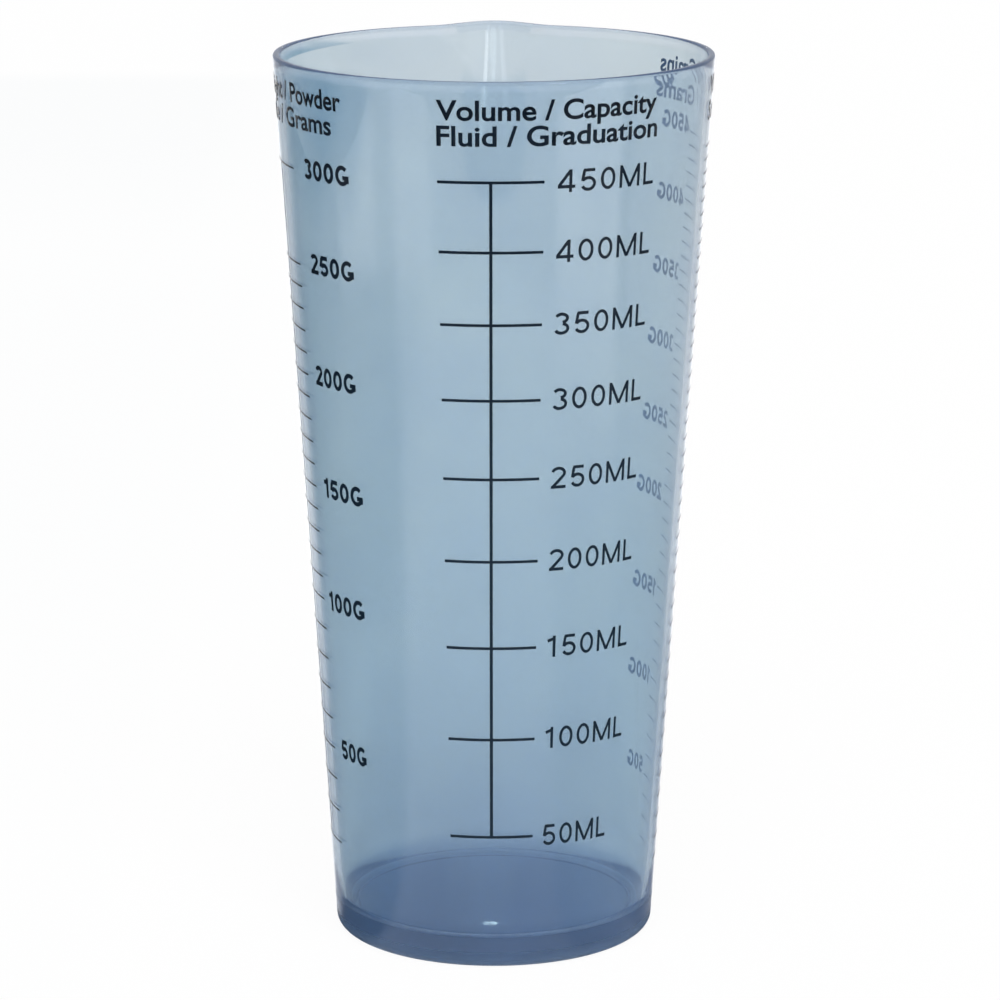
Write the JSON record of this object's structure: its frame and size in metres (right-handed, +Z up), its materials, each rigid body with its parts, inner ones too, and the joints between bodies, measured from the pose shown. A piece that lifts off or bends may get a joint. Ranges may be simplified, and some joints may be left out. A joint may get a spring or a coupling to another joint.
{
  "type": "measuring cup",
  "caption": "Tall tapered see-through plastic measuring cup with a pour spout, a thick floor and printed scales for liquid, flour and sugar.",
  "frame": {"origin": "on the table, under the middle of the whole part's outline, half the spout's reach behind the cup's own axis", "axes": "+Z up along the cup, +Y towards the pour spout, -Y towards the liquid scale, +X towards the sugar scale"},
  "size_m": [0.0782, 0.0837, 0.16],
  "materials": {
    "cup_plastic": "clear blue-grey tinted moulded plastic, glossy, with faint haze and fine scratches",
    "scale_ink": "satin blue-black screen-printed ink"
  },
  "bodies": {
    "root": {"cup_body": "cup_plastic", "liquid_scale": "scale_ink", "flour_scale": "scale_ink", "sugar_scale": "scale_ink"}
  },
  "joints": []
}
